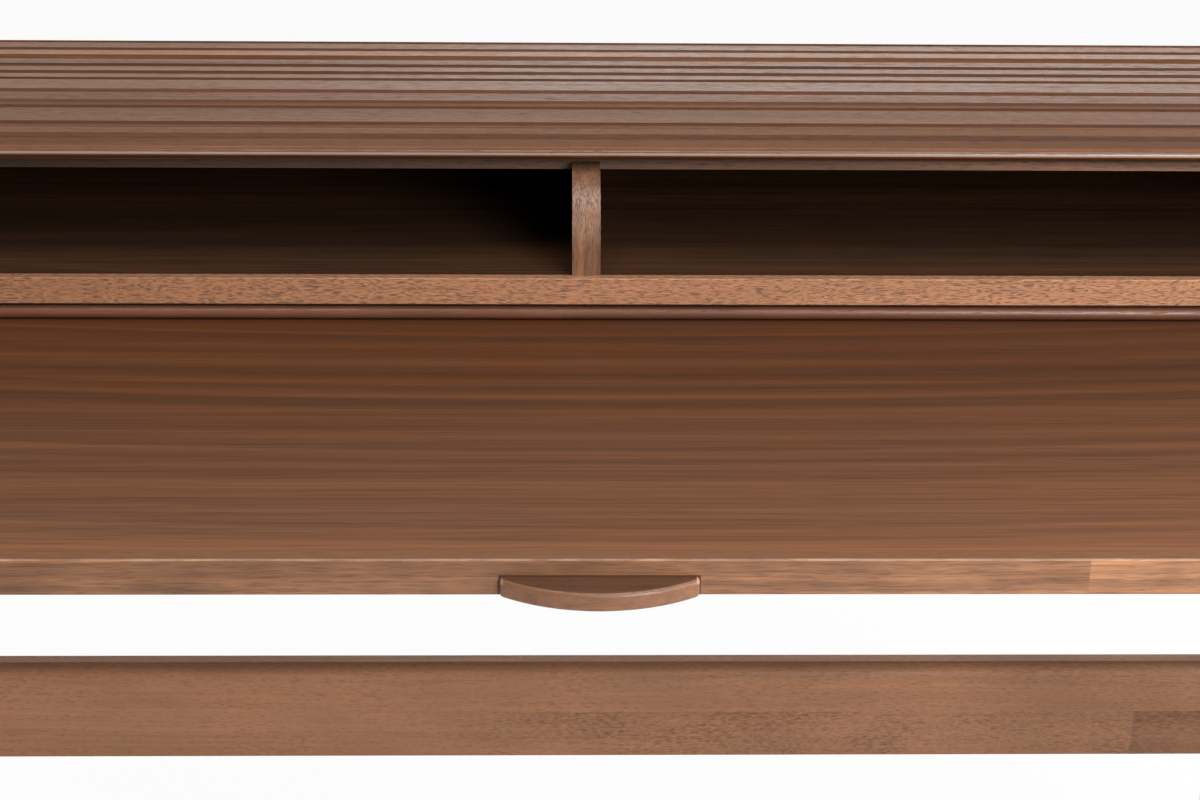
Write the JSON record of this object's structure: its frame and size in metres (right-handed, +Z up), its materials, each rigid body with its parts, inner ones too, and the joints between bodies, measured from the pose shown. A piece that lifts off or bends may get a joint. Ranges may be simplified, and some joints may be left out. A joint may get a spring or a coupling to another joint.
{
  "type": "tambour desk",
  "caption": "Walnut desk with a slatted tambour rolled back over open pigeonholes, a writing board that slides out on ball slides, and a rail between tapered legs.",
  "frame": {"origin": "on the floor, under the middle of the desk's bounding box with the writing board pulled out and the tambour rolled back", "axes": "+Z up, -Y towards the sitter, +X to the sitter's right"},
  "size_m": [1.2, 0.69, 0.869],
  "materials": {
    "tambour_walnut": "satin lacquered walnut slats",
    "walnut_veneer": "satin lacquered straight-grain walnut veneer",
    "case_walnut": "satin lacquered solid walnut",
    "dark_walnut": "reddish stained satin walnut",
    "leg_walnut": "satin lacquered solid walnut",
    "canvas": "closely woven brown cotton canvas",
    "beech": "plain planed beech",
    "slide_steel": "zinc plated",
    "glide_plastic": "matte"
  },
  "bodies": {
    "case": {"back_panel": "walnut_veneer", "back_screws": "slide_steel", "case_bottom": "walnut_veneer", "divider": "case_walnut", "dust_board": "walnut_veneer", "dust_board_lipping": "case_walnut", "frame_rail_left": "leg_walnut", "frame_rail_right": "leg_walnut", "frame_screws": "slide_steel", "front_rail": "case_walnut", "glides": "glide_plastic", "leg_front_left": "leg_walnut", "leg_front_right": "leg_walnut", "leg_rear_left": "leg_walnut", "leg_rear_right": "leg_walnut", "lower_rail": "leg_walnut", "rear_cap": "case_walnut", "shelf": "walnut_veneer", "shelf_bead": "dark_walnut", "shelf_lipping": "case_walnut", "side_left": "case_walnut", "side_right": "case_walnut", "slide_left_fixed": "slide_steel", "slide_right_fixed": "slide_steel"},
    "board": {"bearer_left": "beech", "bearer_right": "beech", "board_lipping_left": "case_walnut", "board_lipping_right": "case_walnut", "board_screws": "slide_steel", "front_lipping_long": "case_walnut", "front_lipping_short": "case_walnut", "pull": "dark_walnut", "pull_dowels": "beech", "slide_left_moving": "slide_steel", "slide_right_moving": "slide_steel", "writing_board": "walnut_veneer"},
    "ball_cages": {"ball_cage_left": "slide_steel", "ball_cage_right": "slide_steel"},
    "slat_9": {"canvas_slat_9": "canvas", "slat_9": "tambour_walnut"},
    "lift_rail": {"canvas_lift_rail": "canvas", "lift_rail": "tambour_walnut"},
    "slat_1": {"canvas_slat_1": "canvas", "slat_1": "tambour_walnut"},
    "slat_2": {"canvas_slat_2": "canvas", "slat_2": "tambour_walnut"},
    "slat_3": {"canvas_slat_3": "canvas", "slat_3": "tambour_walnut"},
    "slat_4": {"canvas_slat_4": "canvas", "slat_4": "tambour_walnut"},
    "slat_5": {"canvas_slat_5": "canvas", "slat_5": "tambour_walnut"},
    "slat_6": {"canvas_slat_6": "canvas", "slat_6": "tambour_walnut"},
    "slat_7": {"canvas_slat_7": "canvas", "slat_7": "tambour_walnut"},
    "slat_8": {"canvas_slat_8": "canvas", "slat_8": "tambour_walnut"}
  },
  "joints": [
    {"name": "board_slide", "type": "slide", "parent": "case", "child": "board", "axis": [0, 1, 0], "range_m": [0, 0.27]},
    {"name": "cage_slide", "type": "slide", "parent": "case", "child": "ball_cages", "axis": [0, 1, 0], "range_m": [0, 0.1351]},
    {"name": "tambour_slide", "type": "slide", "parent": "case", "child": "slat_9", "axis": [0, -1, 0], "range_m": [0, 0.1406]},
    {"name": "lift_rail_roll", "type": "hinge", "parent": "case", "child": "lift_rail", "pos_m": [0, 0.09049, 0.71511], "axis": [1, 0, 0], "range_deg": [0, 61.66]},
    {"name": "slat_1_roll", "type": "hinge", "parent": "case", "child": "slat_1", "pos_m": [0, 0.09866, 0.70461], "axis": [1, 0, 0], "range_deg": [0, 56.17]},
    {"name": "slat_2_roll", "type": "hinge", "parent": "case", "child": "slat_2", "pos_m": [0, 0.11134, 0.68221], "axis": [1, 0, 0], "range_deg": [0, 47.85]},
    {"name": "slat_3_roll", "type": "hinge", "parent": "case", "child": "slat_3", "pos_m": [0, 0.13636, 0.61003], "axis": [1, 0, 0], "range_deg": [0, 33.13]},
    {"name": "slat_4_roll", "type": "hinge", "parent": "case", "child": "slat_4", "pos_m": [0, 0.1593, 0.49168], "axis": [1, 0, 0], "range_deg": [0, 22.22]},
    {"name": "slat_5_roll", "type": "hinge", "parent": "case", "child": "slat_5", "pos_m": [0, 0.18219, 0.26033], "axis": [1, 0, 0], "range_deg": [0, 13.57]},
    {"name": "slat_6_roll", "type": "hinge", "parent": "case", "child": "slat_6", "pos_m": [0, 0.19737, -0.04172], "axis": [1, 0, 0], "range_deg": [0, 9.01]},
    {"name": "slat_7_roll", "type": "hinge", "parent": "case", "child": "slat_7", "pos_m": [0, 0.21606, -0.81421], "axis": [1, 0, 0], "range_deg": [0, 4.85]},
    {"name": "slat_8_roll", "type": "hinge", "parent": "case", "child": "slat_8", "pos_m": [0, 0.23022, -2.93744], "axis": [1, 0, 0], "range_deg": [0, 2.14]}
  ],
  "couplings": [
    {"joint": "cage_slide", "follows": "board_slide", "ratio": 0.5},
    {"joint": "lift_rail_roll", "follows": "tambour_slide", "rad_per_m": 7.6514},
    {"joint": "slat_1_roll", "follows": "tambour_slide", "rad_per_m": 6.9696},
    {"joint": "slat_2_roll", "follows": "tambour_slide", "rad_per_m": 5.9377},
    {"joint": "slat_3_roll", "follows": "tambour_slide", "rad_per_m": 4.1097},
    {"joint": "slat_4_roll", "follows": "tambour_slide", "rad_per_m": 2.756},
    {"joint": "slat_5_roll", "follows": "tambour_slide", "rad_per_m": 1.6821},
    {"joint": "slat_6_roll", "follows": "tambour_slide", "rad_per_m": 1.1154},
    {"joint": "slat_7_roll", "follows": "tambour_slide", "rad_per_m": 0.59922},
    {"joint": "slat_8_roll", "follows": "tambour_slide", "rad_per_m": 0.26373}
  ]
}
